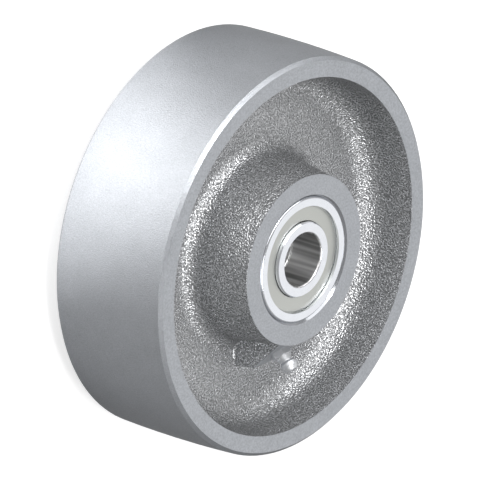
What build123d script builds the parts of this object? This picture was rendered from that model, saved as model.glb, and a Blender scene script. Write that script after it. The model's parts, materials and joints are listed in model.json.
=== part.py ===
from build123d import *
from math import cos, radians, sin, tan
import os

# A solid cast iron wheel with two ball bearings on a common spacer tube and a grease
# nipple in the recess. Millimetres. The origin is the wheel's centre, Z is the axle's
# axis and points out of the nipple's side, and the nipple is on the -Y side.

# Wheel casting
wheel_diameter = 150.0
tread_width = 50.0
tread_crown = 0.6
tread_chamfer = 1.3
rim_thickness = 8.1
rim_draft = 4.0
rim_fillet = 10.0
web_thickness = 10.0
web_flat_share = 0.05
hub_length = 60.0
hub_face_diameter = 63.8
hub_draft = 8.0
hub_fillet = 6.0
seat_chamfer = 0.9
seat_fit = 0.0
shoulder_height = 2.5

# Ball bearings
bearing_bore = 20.0
bearing_outside = 47.0
bearing_width = 14.0
bearing_set_back = 0.2
ring_corner = 0.8
ball_count = 8
ball_diameter = 7.938
ball_play = 0.05
groove_radius_ratio = 0.52
land_height = 1.4
land_corner = 0.4

# Cages
cage_thickness = 0.6
cage_side_gap = 0.6
pocket_play = 0.12
rivet_diameter = 1.2
rivet_head_diameter = 2.2
rivet_head_height = 0.5
rivet_head_round = 0.4
rivet_play = 0.03

# Shields
shield_thickness = 0.3
shield_gap = 0.35
shield_bore_gap = 0.2
shield_rise = 0.3
shield_edge_gap = 0.4
shield_recess_step = 0.75
shield_lip = 0.4
shield_round = 0.12
shield_groove_play = 0.04

# Spacer tube
spacer_wall = 2.8
spacer_bore_play = 0.05
spacer_chamfer = 0.3

# Grease nipple and its lug
nipple_angle = 45.0
nipple_drop = 11.3
nipple_offset = 6.6
lug_width = 18.5
lug_reach = 12.8
lug_draft = 4.5
lug_corner = 0.8
lug_fillet = 0.9
thread_diameter = 6.0
thread_length = 5.5
thread_play = 0.03
channel_diameter = 3.0
hex_across_flats = 7.0
hex_height = 2.2
hex_chamfer = 0.5
hex_chamfer_angle = 30.0
neck_diameter = 4.5
neck_start = 4.1
neck_end = 4.5
head_diameter = 6.5
head_shoulder = 5.4
head_shoulder_end = 6.9
tip_diameter = 4.4
tip_round = 0.8
nipple_length = 8.5
passage_diameter = 1.8
mouth_diameter = 2.1
check_ball_diameter = 2.5
check_ball_depth = 0.25
check_ball_play = 0.1
check_ball_seat_gap = 0.03
spring_wire = 0.3
spring_turns = 6.0
spring_length = 3.6
spring_play = 0.1

# Length by which a cut runs past a face, and the distance at which points are one
cut_past = 1.0
tolerance = 1e-4

# Values worked out from the driving dimensions
wheel_radius = wheel_diameter / 2
tread_edge_radius = wheel_radius - tread_crown
rim_half = tread_width / 2
rim_inner_radius = wheel_radius - rim_thickness
web_half = web_thickness / 2
hub_half = hub_length / 2
hub_face_radius = hub_face_diameter / 2
seat_radius = bearing_outside / 2 + seat_fit
seat_floor = hub_half - bearing_set_back - bearing_width
chamber_radius = seat_radius - shoulder_height
flank_foot = hub_face_radius + (hub_half - web_half) * tan(radians(hub_draft))
rim_foot = rim_inner_radius - (rim_half - web_half) * tan(radians(rim_draft))
room_for_fillets = (1 - web_flat_share) * (rim_foot - flank_foot)
fillet_share = min(1, room_for_fillets / (hub_fillet + rim_fillet))

ball_radius = ball_diameter / 2
pitch_radius = (bearing_bore + bearing_outside) / 4
bearing_half = bearing_width / 2
bearing_centre = hub_half - bearing_set_back - bearing_half
groove_radius = groove_radius_ratio * ball_diameter
outer_groove_bottom = pitch_radius + ball_radius + ball_play
inner_groove_bottom = pitch_radius - ball_radius - ball_play
outer_land = outer_groove_bottom - land_height
inner_land = inner_groove_bottom + land_height
ball_angles = [360 / ball_count * k for k in range(ball_count)]
rivet_angles = [angle + 180 / ball_count for angle in ball_angles]

pocket_radius = ball_radius + pocket_play
dome_radius = pocket_radius + cage_thickness
cage_inner_radius = inner_land + cage_side_gap
cage_outer_radius = outer_land - cage_side_gap

lip_bottom = dome_radius + shield_gap
lip_top = lip_bottom + shield_thickness
plate_bottom = lip_bottom + shield_rise
plate_top = plate_bottom + shield_thickness
recess_radius = outer_land + shield_recess_step
lip_radius = recess_radius + shield_lip
plate_radius = recess_radius - shield_edge_gap

spacer_length = 2 * seat_floor
spacer_inner_radius = bearing_bore / 2 + spacer_bore_play
spacer_outer_radius = spacer_inner_radius + spacer_wall

nipple_seat = Vector(0, -(hub_face_radius + nipple_offset), hub_half - nipple_drop)
nipple_axis = Vector(0, -sin(radians(nipple_angle)), cos(radians(nipple_angle)))
nipple_plane = Plane(origin=nipple_seat, x_dir=(1, 0, 0), z_dir=nipple_axis)
hex_corner_radius = hex_across_flats / 2 / cos(radians(30))
ball_chamber_radius = check_ball_diameter / 2 + check_ball_play
check_ball_centre = nipple_length - check_ball_depth - check_ball_diameter / 2
ball_chamber_foot = check_ball_centre - check_ball_diameter / 2 - spring_length
spring_coil_radius = ball_chamber_radius - spring_play - spring_wire / 2


def profile(points):
    """Closed flat outline from (radius, height) pairs, on the plane through the axle."""
    return make_face(Plane.XZ * Polyline(*points, close=True))


def below(upper):
    """The (radius, height) pairs of an upper half, turned over to make the lower one."""
    return [(radius, -height) for radius, height in reversed(upper)]


def corners(section, radius, height):
    """A section's corners at a radius, above and below its middle."""

    def is_there(corner):
        return max(abs(corner.X - radius), abs(abs(corner.Y) - height)) < tolerance

    return section.vertices().filter_by(is_there)


def turned(face):
    """Solid of revolution about the axle."""
    return revolve(face, axis=Axis.Z)


def ring(inner, outer, low, high):
    """Plain ring between two radii and two heights."""
    return Pos(0, 0, low) * extrude(Circle(outer) - Circle(inner), high - low)


def around(angles, part, radius):
    """Copies of a part at a radius, one at each angle."""
    return [Pos(radius * cos(radians(a)), radius * sin(radians(a)), 0) * part for a in angles]


# Wheel casting

def casting_outline():
    """Upper half of the cross-section, from the chamber wall out to the tread's edge."""
    return [
        (chamber_radius, seat_floor),
        (seat_radius, seat_floor),
        (seat_radius, hub_half - seat_chamfer),
        (seat_radius + seat_chamfer, hub_half),
        (hub_face_radius, hub_half),
        (flank_foot, web_half),
        (rim_foot, web_half),
        (rim_inner_radius, rim_half),
        (tread_edge_radius - tread_chamfer, rim_half),
        (tread_edge_radius, rim_half - tread_chamfer),
    ]


def casting_section():
    """Whole cross-section, with its crowned tread and its filleted recesses."""
    upper = casting_outline()
    lower = below(upper)
    tread = ThreePointArc(upper[-1], (wheel_radius, 0), lower[0])
    section = make_face(Polyline(*upper) + tread + Polyline(*lower) + Line(lower[-1], upper[0]))
    section = fillet(corners(section, flank_foot, web_half), fillet_share * hub_fillet)
    return fillet(corners(section, rim_foot, web_half), fillet_share * rim_fillet)


def nipple_lug():
    """Drafted block that runs from the web to a sloping seat, beside the hub."""
    inner_end = (seat_radius + seat_chamfer + hub_face_radius) / 2
    outer_end = hub_face_radius + lug_reach
    foot_spread = web_thickness * tan(radians(lug_draft))
    plan = Rectangle(lug_width + foot_spread, outer_end - inner_end + foot_spread)
    middle = Pos(0, -(inner_end + outer_end) / 2)
    lug = extrude(middle * plan, hub_half - seat_chamfer, taper=lug_draft)
    end_face = lug.faces().sort_by(Axis.Y)[0]
    upright_edges = end_face.edges().filter_by(Axis.X, reverse=True)
    lug = fillet(upright_edges, lug_corner)
    return split(lug, bisect_by=nipple_plane, keep=Keep.BOTTOM)


def lug_root(casting, body, lug):
    """Edges where the lug grows out of the web and the hub, below its machined seat."""

    def at_root(edge):
        middle = edge @ 0.5
        from_both = max(body.distance_to(middle), lug.distance_to(middle))
        return from_both < tolerance and nipple_plane.to_local_coords(middle).Z < -tolerance

    return casting.edges().filter_by(at_root)


def nipple_hole():
    """Tapped hole for the nipple, and the channel on to the grease chamber."""
    thread_radius = thread_diameter / 2 + thread_play
    thread_hole = Pos(0, 0, -thread_length / 2) * Cylinder(thread_radius, thread_length)
    to_chamber = -nipple_seat.Y / sin(radians(nipple_angle))
    channel = Pos(0, 0, -to_chamber / 2) * Cylinder(channel_diameter / 2, to_chamber)
    return nipple_plane.location * (thread_hole + channel)


def wheel_casting():
    """Rim, web, hub and nipple lug in one piece."""
    body = turned(Plane.XZ * casting_section())
    lug = nipple_lug()
    casting = body + lug
    casting = fillet(lug_root(casting, body, lug), lug_fillet)
    return casting - nipple_hole()


# Ball bearing, centred on its balls, with its shielded side up

def groove_edge(land, groove_bottom, outward):
    """Height at which a raceway's groove meets the land beside it."""
    centre = groove_bottom - outward * groove_radius
    return (groove_radius**2 - (land - centre) ** 2) ** 0.5


def outer_ring():
    """Outer ring with its raceway and a shield recess in each face."""
    outside = bearing_outside / 2
    edge_height = groove_edge(outer_land, outer_groove_bottom, 1)
    groove_floor = lip_bottom - shield_groove_play
    groove_top = lip_top + shield_groove_play
    groove_wall = lip_radius + shield_groove_play
    upper = [
        (outer_land, edge_height),
        (outer_land, groove_floor),
        (groove_wall, groove_floor),
        (groove_wall, groove_top),
        (recess_radius, groove_top),
        (recess_radius, bearing_half),
        (outside, bearing_half),
    ]
    lower = below(upper)
    race = ThreePointArc(lower[-1], (outer_groove_bottom, 0), upper[0])
    section = make_face(Polyline(*upper, *lower) + race)
    section = fillet(corners(section, outside, bearing_half), ring_corner)
    return turned(Plane.XZ * section)


def inner_ring():
    """Inner ring with its raceway."""
    bore = bearing_bore / 2
    edge_height = groove_edge(inner_land, inner_groove_bottom, -1)
    upper = [(inner_land, edge_height), (inner_land, bearing_half), (bore, bearing_half)]
    lower = below(upper)
    race = ThreePointArc(lower[-1], (inner_groove_bottom, 0), upper[0])
    section = make_face(Polyline(*upper, *lower) + race)
    section = fillet(corners(section, bore, bearing_half), ring_corner)
    section = chamfer(corners(section, inner_land, bearing_half), land_corner)
    return turned(Plane.XZ * section)


def cage_half():
    """Upper pressed half of the cage: a flat ring with a dome over each ball."""
    sheet = ring(cage_inner_radius, cage_outer_radius, 0, cage_thickness)
    band = ring(cage_inner_radius, cage_outer_radius, 0, dome_radius)
    domes = Part() + around(ball_angles, Sphere(dome_radius), pitch_radius)
    pockets = Part() + around(ball_angles, Sphere(pocket_radius), pitch_radius)
    hole = Cylinder(rivet_diameter / 2 + rivet_play, 4 * cage_thickness)
    holes = Part() + around(rivet_angles, hole, pitch_radius)
    return (sheet + (domes & band)) - pockets - holes


def cage_rivet():
    """Round-headed rivet through both halves of the cage."""
    shank = Cylinder(rivet_diameter / 2, 2 * cage_thickness)
    head = Cylinder(rivet_head_diameter / 2, rivet_head_height)
    upper_head = Pos(0, 0, cage_thickness + rivet_head_height / 2) * head
    rim = upper_head.edges().group_by(Axis.Z)[-1]
    upper_head = fillet(rim, rivet_head_round)
    return shank + upper_head + mirror(upper_head, Plane.XY)


def shield():
    """Pressed shield: a flat plate, stepped down to a lip that snaps into the outer ring."""
    inner = inner_land + shield_bore_gap
    step = plate_radius - shield_thickness
    section = profile([
        (inner, plate_bottom),
        (step, plate_bottom),
        (step, lip_bottom),
        (lip_radius, lip_bottom),
        (lip_radius, lip_top),
        (plate_radius, lip_top),
        (plate_radius, plate_top),
        (inner, plate_top),
    ])
    plate_corners = section.vertices().filter_by(lambda corner: corner.Z > plate_top - tolerance)
    return turned(fillet(plate_corners, shield_round))


def bearing():
    """Every piece of one bearing, by name."""
    half = cage_half()
    pieces = {
        "outer_ring": outer_ring(),
        "inner_ring": inner_ring(),
        "shield": shield(),
        "cage_outer_half": half,
        "cage_inner_half": mirror(half, Plane.XY),
        "cage_rivets": Part() + around(rivet_angles, cage_rivet(), pitch_radius),
    }
    balls = around(ball_angles, Sphere(ball_radius), pitch_radius)
    pieces.update({f"ball_{number}": ball for number, ball in enumerate(balls, 1)})
    return pieces


# Spacer tube

def spacer_tube():
    """Tube that holds the two inner rings apart, with its ends chamfered."""
    tube = ring(spacer_inner_radius, spacer_outer_radius, -spacer_length / 2, spacer_length / 2)
    return chamfer(tube.edges().filter_by(GeomType.CIRCLE), spacer_chamfer)


# Grease nipple, with its seat at height 0 and its head up

def nipple_outline():
    """Turned outline of the cone, the neck and the head, from the seat to the mouth."""
    cone_foot = hex_across_flats / 2 - hex_chamfer
    return [
        (0, 0),
        (cone_foot, 0),
        (cone_foot, hex_height),
        (neck_diameter / 2, neck_start),
        (neck_diameter / 2, neck_end),
        (head_diameter / 2, head_shoulder),
        (head_diameter / 2, head_shoulder_end),
        (tip_diameter / 2, nipple_length),
        (0, nipple_length),
    ]


def nipple_hexagon():
    """Hexagon with its upper corners turned off."""
    hexagon = extrude(RegularPolygon(hex_corner_radius, 6), hex_height)
    slope = tan(radians(hex_chamfer_angle))
    top_radius = hex_across_flats / 2
    cone_foot = top_radius + hex_height / slope
    cone = Cone(cone_foot, top_radius, hex_height, align=(Align.CENTER, Align.CENTER, Align.MIN))
    return hexagon & cone


def nipple_bore():
    """Grease passage, the ball's chamber and the mouth that holds the ball."""
    mouth = mouth_diameter / 2
    seat_reach = check_ball_diameter / 2 + check_ball_seat_gap
    mouth_foot = check_ball_centre + (seat_reach**2 - mouth**2) ** 0.5
    section = profile([
        (0, -thread_length - cut_past),
        (passage_diameter / 2, -thread_length - cut_past),
        (passage_diameter / 2, ball_chamber_foot),
        (ball_chamber_radius, ball_chamber_foot),
        (ball_chamber_radius, mouth_foot - (ball_chamber_radius - mouth)),
        (mouth, mouth_foot),
        (mouth, nipple_length + cut_past),
        (0, nipple_length + cut_past),
    ])
    return turned(section)


def nipple_body():
    """Thread, hexagon, neck and head in one turned piece."""
    thread = Pos(0, 0, -thread_length / 2) * Cylinder(thread_diameter / 2, thread_length)
    upper = turned(profile(nipple_outline()))
    upper = fillet(upper.edges().filter_by(GeomType.CIRCLE).group_by(Axis.Z)[-1], tip_round)
    return (upper + nipple_hexagon() + thread) - nipple_bore()


def nipple_ball():
    return Pos(0, 0, check_ball_centre) * Sphere(check_ball_diameter / 2)


def nipple_spring():
    """Coil spring that holds the ball against the nipple's mouth."""
    reach = (check_ball_diameter + spring_wire) / 2 + check_ball_seat_gap
    top = check_ball_centre - (reach**2 - spring_coil_radius**2) ** 0.5
    foot = ball_chamber_foot + spring_wire / 2 + check_ball_seat_gap
    height = top - foot
    coil = Helix(height / spring_turns, height, spring_coil_radius)
    section = Plane(origin=coil @ 0, z_dir=coil % 0) * Circle(spring_wire / 2)
    return Pos(0, 0, foot) * sweep(section, path=coil)


# Whole wheel

front = Pos(0, 0, bearing_centre)
rear = Pos(0, 0, -bearing_centre) * Rot(180, 0, 0)
on_lug = nipple_plane.location

nodes = {"wheel_casting": wheel_casting(), "spacer_tube": spacer_tube()}
for name, piece in bearing().items():
    nodes[f"front_{name}"] = front * piece
    nodes[f"rear_{name}"] = rear * piece
nodes["nipple_body"] = on_lug * nipple_body()
nodes["nipple_ball"] = on_lug * nipple_ball()
nodes["nipple_spring"] = on_lug * nipple_spring()

os.makedirs("parts", exist_ok=True)
for name, piece in nodes.items():
    export_step(piece, f"parts/{name}.step")
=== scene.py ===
import json
from math import cos, pi, radians, sin

import bpy
from mathutils import Matrix, Vector


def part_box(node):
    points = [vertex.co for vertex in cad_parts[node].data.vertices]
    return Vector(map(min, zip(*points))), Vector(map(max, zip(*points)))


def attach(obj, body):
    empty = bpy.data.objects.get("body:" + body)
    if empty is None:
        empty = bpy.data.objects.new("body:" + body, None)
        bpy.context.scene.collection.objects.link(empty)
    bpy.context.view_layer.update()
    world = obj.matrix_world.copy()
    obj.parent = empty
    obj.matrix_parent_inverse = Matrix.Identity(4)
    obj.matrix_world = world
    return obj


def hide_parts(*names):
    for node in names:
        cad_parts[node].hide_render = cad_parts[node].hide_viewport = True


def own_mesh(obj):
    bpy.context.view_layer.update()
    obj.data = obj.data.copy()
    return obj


# Looks of a cast iron wheel that lies on its rear hub face. Metres, in the part's own frame:
# Z is the axle's axis, and the grease nipple is on the -Y side of the upper recess.

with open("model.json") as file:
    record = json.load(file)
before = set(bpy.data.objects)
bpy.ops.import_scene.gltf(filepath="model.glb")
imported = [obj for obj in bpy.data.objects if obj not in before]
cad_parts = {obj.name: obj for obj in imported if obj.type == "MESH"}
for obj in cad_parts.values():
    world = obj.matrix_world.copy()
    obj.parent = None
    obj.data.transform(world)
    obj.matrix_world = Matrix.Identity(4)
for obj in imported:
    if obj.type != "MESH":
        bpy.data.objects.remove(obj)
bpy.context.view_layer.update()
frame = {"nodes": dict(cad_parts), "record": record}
MM = 0.001

# Where the casting changes its finish: heights from the wheel's middle, radii from the axle's axis.
# The cast grain fades in just below a turned face
casting_low, casting_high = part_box("wheel_casting")
hub_face_height = casting_high[2]
rim_face_height = hub_face_height - 5 * MM
recess_outer_radius = 70 * MM
recess_middle_radius = 50 * MM
bare_bore_radius = 24.5 * MM
tread_edge = (72.5 * MM, 74 * MM)
grain_below_face = (0.07 * MM, 0.14 * MM)

# The nipple's seat is square to its axis, below its tip. On the lug it lies above seat_lowest (Z)
# and beyond seat_nearest_hub (Y)
nipple_mount = next(m for m in frame["record"]["mounts"] if m["name"] == "nipple_head")
nipple_axis = Vector(nipple_mount["axis"])
nipple_length = 8.5 * MM
nipple_seat = Vector(nipple_mount["pos_m"]) - nipple_axis * nipple_length
seat_along_axis = nipple_axis.dot(nipple_seat)
seat_half_width = 9 * MM
seat_lowest = 5.5 * MM
seat_nearest_hub = -30 * MM

# Spring behind the nipple's check ball: heights from the nipple's seat, along its axis
spring_foot = 2.33 * MM
spring_top = 6.086 * MM
spring_radius = 1.10 * MM
spring_wire_radius = 0.15 * MM
spring_turns = 6
points_per_turn = 32
points_round_wire = 10

# Grain of each finish and the depth of its relief
cast_grain = 0.62 * MM
cast_depth = 0.38 * MM
tread_grain = 0.42 * MM
tread_depth = 0.14 * MM
face_grain = 0.7 * MM
face_depth = 0.008 * MM
steel_grain = 0.25 * MM
steel_depth = 0.003 * MM
bored_depth = 0.001 * MM
ball_depth = 0.0003 * MM
brushed_grain = 0.12 * MM
brushed_depth = 0.002 * MM

# Wide patches of tone, and painted reflection streaks in the bore's colour, drawn out along Z by
# 1 / streak_squeeze and reaching from the bore's wall out to streaked_radius
casting_patch = 9 * MM
steel_patch = 4 * MM
bore_reflection_streak = 2.5 * MM
streak_squeeze = 0.03
streaked_radius = 10.4 * MM

# Noise levels between which a finish goes from its first value to its second
plain_levels = (0.3, 0.7)
cast_levels = (0.36, 0.64)
cast_gloss_levels = (0.4, 0.6)
reflection_streak_levels = (0.38, 0.62)

# Factors on the colour, from the low level to the high one
# The next factors darken the pits and lighten the peaks of the cast relief: painted shade and
# highlight
cast_relief_shade_tone = (0.66, 1.36)
turned_tone = (0.86, 1.14)
casting_patch_tone = (0.97, 1.03)
steel_patch_tone = (0.96, 1.02)
bored_patch_tone = (0.98, 1.02)
# The next factors paint reflection streaks into the bore's colour
reflection_streak_tone = (0.50, 1.25)
brushed_tone = (0.96, 1.04)

# Roughness, from the low level to the high one. A steel's goes by steel_spread to either side
cast_roughness = (0.34, 0.24)
turned_roughness = (0.34, 0.42)
bare_iron_smoother = 0.22
brushed_roughness = (0.46, 0.52)
ring_roughness = 0.14
tube_roughness = 0.22
bore_rougher = 0.24
ball_roughness = 0.06
cage_roughness = 0.38
wire_roughness = 0.25
zinc_roughness = 0.48
floor_roughness = 0.9
steel_spread = 0.15

# How metallic the paint is, its tint at grazing angles, and how far brushing stretches a light
turned_metallic = 0.8
cast_metallic = 0.75
seat_metallic_share = 0.5
paint_edge_tint = (0.45, 0.45, 0.45, 1)
brushed_anisotropy = 0.2

# Colours, linear
silver_paint = (0.41, 0.425, 0.45)
# The recess paint is lighter than the turned faces' paint: painted fill light for the shaded
# recesses
rough_paint_with_painted_fill = (0.445, 0.45, 0.46)
bare_iron = (0.36, 0.37, 0.39)
ring_steel = (0.79, 0.81, 0.85)
ball_steel = (0.84, 0.85, 0.87)
shield_steel = (0.545, 0.555, 0.53)
cage_steel = (0.55, 0.54, 0.51)
tube_steel = (0.72, 0.72, 0.72)
bore_steel = (0.78, 0.78, 0.78)
nipple_zinc = (0.68, 0.69, 0.71)
floor_grey = (0.50, 0.50, 0.50, 1)
white = (1, 1, 1, 1)

# Camera, parallel projection, turned as a fit to the photograph's circles says
view_right = Vector((0.6428, 0.0, 0.7660))
view_up = Vector((0.2867, 0.9272, -0.2406))
view_width = 0.17324
camera_distance = 0.6

# Floor, just clear of the rear hub face: its glow to the camera, and in reflections its brightness
# from the -Y side to the +Y side and a round patch that fades out between two radii
floor_height = casting_low[2] - 0.02 * MM
floor_size = 6
floor_glow = 0.74
floor_span = (-0.10, 0.10)
floor_mirrored = (0.05, 0.17)
patch_centre = (-0.088, 0.079, 0)
patch_span = (0.015, 0.098)
patch_mirrored = 2.6

# Walls in reflections: dim on the -Y side, white on the +Y side, up to a dim ceiling. The spans are
# of the direction's Y and Z, and the sky is the light that all of it gives
dim_wall = 0.30
white_wall = 1.0
ceiling = 0.40
wall_span = (-0.3, 0.4)
wall_top = (0.10, 0.45)
sky = 0.2

# Softboxes that face the wheel: azimuth and elevation in degrees, distance, width and height, and
# brightness, where 1 looks as bright as a white wall and takes white_lamp_power, in W per m2
softboxes = {
    "key": (130, 14, 0.27, (0.20, 0.10), 2.4),
    "top": (92, 43, 0.7, (1.2, 0.32), 1.9),
    "glint": (104, 48, 0.7, (0.12, 0.12), 22.0),
    "back_fill": (-122, 70, 0.7, (0.3, 0.3), 5.5),
    "face_panel": (-28, 36.6, 0.8, (0.65, 0.65), 0.50),
}
bore_panel_size = (0.018, 0.018)
bore_panel_lift = 1 * MM
bore_panel_brightness = 1.0
white_lamp_power = 4


class Shader:
    """Adds nodes to one node tree, around its surface or background node, by short calls."""

    def __init__(self, tree, surface_name):
        self.tree = tree
        self.surface = tree.nodes[surface_name]
        self.coordinates = None

    def add(self, kind, inputs=None, **settings):
        node = self.tree.nodes.new(kind)
        for name, value in settings.items():
            setattr(node, name, value)
        for name, value in (inputs or {}).items():
            self.feed(node.inputs[name], value)
        return node

    def feed(self, socket, value):
        if isinstance(value, bpy.types.NodeSocket):
            self.tree.links.new(value, socket)
        else:
            socket.default_value = value

    def put(self, name, value):
        """Sets or links one of the surface's own sockets."""
        self.feed(self.surface.inputs[name], value)

    def place(self):
        """Point on the piece, in metres, that moves with the piece."""
        if self.coordinates is None:
            self.coordinates = self.add("ShaderNodeTexCoord").outputs["Object"]
        return self.coordinates

    def parts(self, point):
        """X, Y and Z of a point."""
        return self.add("ShaderNodeSeparateXYZ", {"Vector": point}).outputs

    def math(self, operation, first, second=0.0):
        node = self.add("ShaderNodeMath", {0: first, 1: second}, operation=operation)
        return node.outputs["Value"]

    def product(self, first, *others):
        for other in others:
            first = self.math("MULTIPLY", first, other)
        return first

    def vector(self, operation, first, second=(0, 0, 0), output="Vector"):
        node = self.add("ShaderNodeVectorMath", {0: first, 1: second}, operation=operation)
        return node.outputs[output]

    def scaled(self, colour, factor):
        """A colour made lighter or darker by a factor."""
        node = self.add("ShaderNodeVectorMath", {0: colour, "Scale": factor}, operation="SCALE")
        return node.outputs["Vector"]

    def radius(self):
        """Distance from the axle's axis."""
        flat = self.vector("MULTIPLY", self.place(), (1, 1, 0))
        return self.vector("LENGTH", flat, output="Value")

    def step(self, value, low, high, at_low=0.0, at_high=1.0):
        """Goes evenly from at_low to at_high while the value goes from low to high."""
        names = ("Value", "From Min", "From Max", "To Min", "To Max")
        values = (value, low, high, at_low, at_high)
        node = self.add("ShaderNodeMapRange", dict(zip(names, values)))
        return node.outputs["Result"]

    def choose(self, share, first, second):
        """The first number where the share is 0, and the second where it is 1."""
        return self.step(share, 0, 1, first, second)

    def blend(self, share, first, second):
        """The first colour where the share is 0, and the second where it is 1."""
        node = self.add("ShaderNodeMix", {"Factor": share}, data_type="RGBA")
        self.feed(node.inputs["A"], first)
        self.feed(node.inputs["B"], second)
        return node.outputs["Result"]

    def noise(self, grain, detail=2.0, point=None):
        inputs = {"Vector": point or self.place(), "Scale": 1 / grain, "Detail": detail}
        return self.add("ShaderNodeTexNoise", inputs).outputs["Fac"]

    def bump(self, height, depth, normal=None):
        inputs = {"Height": height, "Distance": depth}
        if normal is not None:
            inputs["Normal"] = normal
        return self.add("ShaderNodeBump", inputs).outputs["Normal"]

    def rays(self):
        """1 for the camera's own rays, and 1 for those that a surface mirrors or lets through."""
        path = self.add("ShaderNodeLightPath").outputs
        mirrored = self.math("MAXIMUM", path["Is Glossy Ray"], path["Is Transmission Ray"])
        return path["Is Camera Ray"], mirrored


def new_material(name):
    """A material and the helper that adds its nodes."""
    material = bpy.data.materials.new(name)
    material.use_nodes = True
    return material, Shader(material.node_tree, "Principled BSDF")


def on_nipple_seat(make):
    """1 on the machined seat of the nipple's lug."""
    along = make.vector("DOT_PRODUCT", make.place(), tuple(nipple_axis), output="Value")
    offset = make.math("ABSOLUTE", make.math("SUBTRACT", along, seat_along_axis))
    x, y, z = make.parts(make.place())
    return make.product(
        make.step(offset, *grain_below_face, 1, 0),
        make.math("LESS_THAN", make.math("ABSOLUTE", x), seat_half_width),
        make.math("GREATER_THAN", z, seat_lowest),
        make.math("LESS_THAN", y, seat_nearest_hub),
    )


def left_as_cast(make, seat):
    """1 in the recesses, where the sand mould's grain shows, and 0 on every turned face."""
    radius = make.radius()
    height = make.math("ABSOLUTE", make.parts(make.place())["Z"])
    near_rim = make.math("GREATER_THAN", radius, recess_middle_radius)
    face_height = make.choose(near_rim, hub_face_height, rim_face_height)
    return make.product(
        make.step(make.math("SUBTRACT", face_height, height), *grain_below_face),
        make.math("LESS_THAN", radius, recess_outer_radius),
        make.math("GREATER_THAN", radius, bare_bore_radius),
        make.math("SUBTRACT", 1.0, seat),
    )


def casting_material():
    """Silver paint: rough where the sand mould left it, smooth where it was turned, with painted
    shade in the cast grain's pits, painted highlight on its peaks and painted fill light that makes
    the recesses lighter.
    """
    material, make = new_material("silver_painted_casting")
    seat = on_nipple_seat(make)
    rough = left_as_cast(make, seat)
    bare = make.math("LESS_THAN", make.radius(), bare_bore_radius)
    on_tread = make.step(make.radius(), *tread_edge)

    grain = make.noise(cast_grain, detail=0)
    peel = make.noise(tread_grain)
    speckle = make.noise(face_grain, detail=1)
    patches = make.noise(casting_patch, detail=3)

    # The colour follows the cast relief: painted shade in its pits and painted highlight on its
    # peaks
    relief_shaded_tone = make.step(grain, *cast_levels, *cast_relief_shade_tone)
    smooth_tone = make.step(make.blend(on_tread, speckle, peel), *plain_levels, *turned_tone)
    patch_tone = make.step(patches, *plain_levels, *casting_patch_tone)
    tone = make.product(make.blend(rough, smooth_tone, relief_shaded_tone), patch_tone)
    # Lighter paint in the recesses, as painted fill light where they lie in shade
    paint = make.scaled(make.blend(rough, (*silver_paint, 1), (*rough_paint_with_painted_fill, 1)), tone)
    make.put("Base Color", make.blend(bare, paint, (*bare_iron, 1)))

    flakes = make.choose(rough, turned_metallic, cast_metallic)
    make.put("Metallic", make.product(flakes, make.choose(seat, 1, seat_metallic_share)))
    make.put("Specular Tint", paint_edge_tint)
    smooth_gloss = make.step(speckle, *plain_levels, *turned_roughness)
    rough_gloss = make.step(grain, *cast_gloss_levels, *cast_roughness)
    gloss = make.blend(rough, smooth_gloss, rough_gloss)
    make.put("Roughness", make.math("SUBTRACT", gloss, make.product(bare, bare_iron_smoother)))

    normal = make.bump(make.product(grain, rough), cast_depth)
    normal = make.bump(make.product(peel, on_tread), tread_depth, normal)
    make.put("Normal", make.bump(speckle, face_depth, normal))
    return material


def uneven_gloss(make, grain, roughness):
    """A steel's roughness, which varies a little with its grain."""
    smoothest, roughest = roughness * (1 - steel_spread), roughness * (1 + steel_spread)
    return make.step(grain, *plain_levels, smoothest, roughest)


def steel_material(name, colour, roughness, depth=steel_depth):
    """Bare or plated steel with a fine turned, drawn or tumbled grain."""
    material, make = new_material(name)
    patches = make.noise(steel_patch, detail=3)
    grain = make.noise(steel_grain)
    tone = make.step(patches, *plain_levels, *steel_patch_tone)
    make.put("Base Color", make.scaled(colour, tone))
    make.put("Metallic", 1.0)
    make.put("Roughness", uneven_gloss(make, grain, roughness))
    make.put("Normal", make.bump(grain, depth))
    return material


def bored_steel_material(name, colour, roughness):
    """Ground or turned steel whose bore is rougher and has painted reflection streaks along the
    axle.
    """
    material, make = new_material(name)
    in_bore = make.math("LESS_THAN", make.radius(), streaked_radius)
    drawn_out = make.vector("MULTIPLY", make.place(), (1, 1, streak_squeeze))
    reflection_streaks = make.noise(bore_reflection_streak, detail=1, point=drawn_out)
    patches = make.noise(steel_patch, detail=3)
    grain = make.noise(steel_grain)

    # Painted reflection streaks along the axle in the bore's colour
    bore_colour = make.scaled(bore_steel, make.step(reflection_streaks, *reflection_streak_levels, *reflection_streak_tone))
    face_colour = make.scaled(colour, make.step(patches, *plain_levels, *bored_patch_tone))
    make.put("Base Color", make.blend(in_bore, face_colour, bore_colour))
    make.put("Metallic", 1.0)
    gloss = uneven_gloss(make, grain, roughness)
    make.put("Roughness", make.math("ADD", gloss, make.product(in_bore, bore_rougher)))
    make.put("Normal", make.bump(grain, bored_depth))
    return material


def shield_material():
    """Sheet steel brushed in rings, which spreads lights into fans."""
    material, make = new_material("ring_brushed_shield_steel")
    outward = make.add("ShaderNodeCombineXYZ", {"X": make.radius()}).outputs["Vector"]
    rings = make.noise(brushed_grain, detail=1, point=outward)
    tone = make.step(rings, *plain_levels, *brushed_tone)
    make.put("Base Color", make.scaled(shield_steel, tone))
    make.put("Metallic", 1.0)
    make.put("Roughness", make.step(rings, *plain_levels, *brushed_roughness))
    make.put("Anisotropic", brushed_anisotropy)
    tangent = make.add("ShaderNodeTangent", direction_type="RADIAL", axis="Z")
    make.put("Tangent", tangent.outputs["Tangent"])
    make.put("Normal", make.bump(rings, brushed_depth))
    return material


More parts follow.
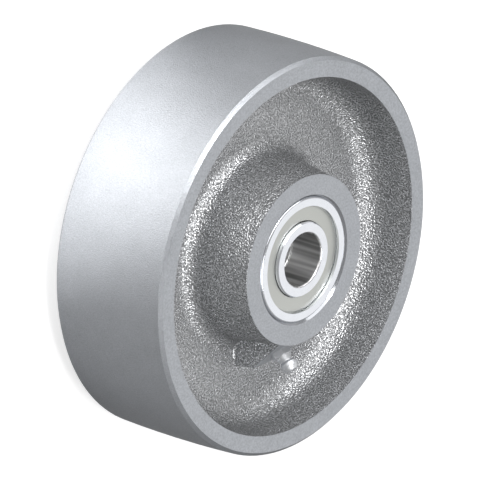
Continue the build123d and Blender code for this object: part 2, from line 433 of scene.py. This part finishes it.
def give(material, *words):
    """Puts a material on every CAD node that has one of the words in its name."""
    for name, piece in frame["nodes"].items():
        if any(word in name for word in words):
            if not piece.material_slots:
                piece.data.materials.append(material)
            for slot in piece.material_slots:
                slot.material = material


def dress_nodes():
    """Gives every CAD node its material."""
    give(casting_material(), "wheel_casting")
    give(bored_steel_material("ground_ring_steel", ring_steel, ring_roughness), "_ring")
    give(bored_steel_material("turned_tube_steel", tube_steel, tube_roughness), "spacer_tube")
    give(shield_material(), "_shield")
    give(steel_material("polished_ball_steel", ball_steel, ball_roughness, ball_depth), "_ball")
    give(steel_material("tumbled_cage_steel", cage_steel, cage_roughness), "_cage")
    zinc = steel_material("zinc_plated_steel", nipple_zinc, zinc_roughness)
    give(zinc, "nipple_body", "nipple_spring")


def spring_section(turn):
    """Points round the wire, that many turns up the coil, with the coil's axis as Z."""
    outward = Vector((cos(2 * pi * turn), sin(2 * pi * turn), 0))
    pitch = (spring_top - spring_foot) / spring_turns
    centre = outward * spring_radius + Vector((0, 0, spring_foot + pitch * turn))
    along = Vector((-outward.y, outward.x, pitch / (2 * pi * spring_radius))).normalized()
    upward = along.cross(outward)
    angles = [2 * pi * k / points_round_wire for k in range(points_round_wire)]
    return [centre + (outward * cos(a) + upward * sin(a)) * spring_wire_radius for a in angles]


def spring_mesh():
    """Coil of round wire on the nipple's axis, with a flat face at each end of the wire."""
    across = Vector((1, 0, 0))
    lug = Matrix((across, nipple_axis.cross(across), nipple_axis)).transposed()
    sections = spring_turns * points_per_turn + 1
    points = [p for k in range(sections) for p in spring_section(k / points_per_turn)]
    faces = [tuple(range(points_round_wire))[::-1]]
    for first in range(0, (sections - 1) * points_round_wire, points_round_wire):
        for k in range(points_round_wire):
            a, b = first + k, first + (k + 1) % points_round_wire
            faces.append((a, b, b + points_round_wire, a + points_round_wire))
    faces.append(tuple(range(len(points) - points_round_wire, len(points))))
    mesh = bpy.data.meshes.new("check_ball_spring")
    mesh.from_pydata([nipple_seat + lug @ p for p in points], [], faces)
    mesh.polygons.foreach_set("use_smooth", [len(face) == 4 for face in faces])
    return mesh


def build_spring():
    """Coil that stands for the rigid CAD spring."""
    mesh = spring_mesh()
    mesh.materials.append(steel_material("drawn_spring_steel", cage_steel, wire_roughness))
    spring = bpy.data.objects.new("check_ball_spring", mesh)
    bpy.context.collection.objects.link(spring)
    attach(spring, "wheel")
    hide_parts("nipple_spring")
    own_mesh(spring)


def build_floor():
    """Pale floor that shows white and keeps the wheel's soft shadow."""
    bpy.ops.mesh.primitive_plane_add(size=floor_size, location=(0, 0, floor_height))
    floor = bpy.context.object
    floor.name = "floor"
    material, make = new_material("pale_floor")
    make.put("Base Color", floor_grey)
    make.put("Roughness", floor_roughness)
    make.put("Specular IOR Level", 0.0)
    make.put("Emission Color", white)
    across = make.step(make.parts(make.place())["Y"], *floor_span, *floor_mirrored)
    from_patch = make.vector("DISTANCE", make.place(), patch_centre, output="Value")
    patch = make.step(from_patch, *patch_span, patch_mirrored, 0)
    camera_ray, mirrored_ray = make.rays()
    seen = make.product(camera_ray, floor_glow)
    mirrored = make.product(mirrored_ray, make.math("ADD", across, patch))
    make.put("Emission Strength", make.math("ADD", seen, mirrored))
    floor.data.materials.append(material)


def build_world():
    """Studio walls and ceiling: white to the camera, and the wheel mirrors them dimmer."""
    world = bpy.data.worlds.new("studio")
    bpy.context.scene.world = world
    world.use_nodes = True
    make = Shader(world.node_tree, "Background")
    direction = make.parts(make.add("ShaderNodeTexCoord").outputs["Generated"])
    walls = make.step(direction["Y"], *wall_span, dim_wall, white_wall)
    studio = make.step(direction["Z"], *wall_top, walls, ceiling)
    camera_ray, mirrored_ray = make.rays()
    shown = make.math("MAXIMUM", camera_ray, make.product(mirrored_ray, studio))
    make.put("Color", white)
    make.put("Strength", make.math("MAXIMUM", shown, sky))


def towards(azimuth, elevation, distance):
    """Point at a distance from the wheel's middle, angles in degrees."""
    swing = Matrix.Rotation(radians(azimuth), 3, "Z")
    lift = Matrix.Rotation(radians(-elevation), 3, "Y")
    return swing @ lift @ Vector((distance, 0, 0))


def add_light(name, centre, facing, shape, size, brightness):
    """Flat light that faces a direction."""
    light = bpy.data.lights.new(name, "AREA")
    light.shape = shape
    light.size, light.size_y = size
    area = size[0] * size[1] * (pi / 4 if shape == "ELLIPSE" else 1)
    light.energy = white_lamp_power * brightness * area
    lamp = bpy.data.objects.new(name, light)
    bpy.context.collection.objects.link(lamp)
    lamp.location = centre
    lamp.rotation_euler = (-facing).to_track_quat("Z", "Y").to_euler()
    lamp.visible_camera = False


def build_lights():
    """Softboxes round the wheel, and a round panel on the floor that lights the bore's far end."""
    for name, (azimuth, elevation, distance, size, brightness) in softboxes.items():
        centre = towards(azimuth, elevation, distance)
        add_light(name, centre, -centre, "RECTANGLE", size, brightness)
    below_bore = Vector((0, 0, floor_height + bore_panel_lift))
    upward = Vector((0, 0, 1))
    add_light("bore_end", below_bore, upward, "ELLIPSE", bore_panel_size, bore_panel_brightness)


def build_camera():
    """Camera at the photograph's viewing angle."""
    data = bpy.data.cameras.new("camera")
    data.type = "ORTHO"
    data.ortho_scale = view_width
    camera = bpy.data.objects.new("camera", data)
    back = view_right.cross(view_up)
    turn = Matrix((view_right, view_up, back)).transposed().to_4x4()
    camera.matrix_world = Matrix.Translation(back * camera_distance) @ turn
    bpy.context.collection.objects.link(camera)
    bpy.context.scene.camera = camera


dress_nodes()
build_spring()
build_floor()
build_world()
build_lights()
build_camera()
bpy.context.scene.view_settings.view_transform = "Standard"
